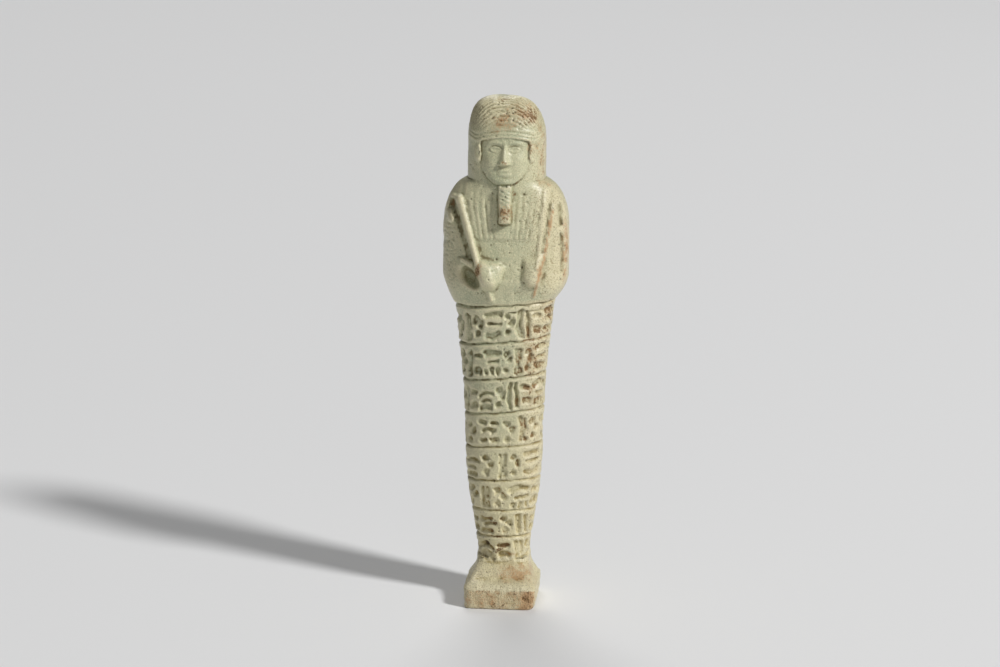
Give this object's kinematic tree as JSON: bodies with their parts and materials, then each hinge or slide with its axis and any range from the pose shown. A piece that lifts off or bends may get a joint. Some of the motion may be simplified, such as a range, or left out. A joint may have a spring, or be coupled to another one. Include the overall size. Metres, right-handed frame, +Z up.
{
  "type": "ushabti figurine",
  "caption": "Mummiform glazed faience figurine with wig, plaited beard, crossed fists, banded legs and foot block; it stands upright as a small ornament.",
  "frame": {"origin": "centre of the figurine's footprint on the surface it stands on", "axes": "+Z up through the crown, the face looks along -Y, +X is the figure's own left side"},
  "size_m": [0.044, 0.031, 0.18],
  "materials": {
    "faience": "pale grey-green semi-gloss glaze with rust-brown staining and pinholes"
  },
  "bodies": {
    "root": {"ushabti": "faience"}
  },
  "joints": []
}
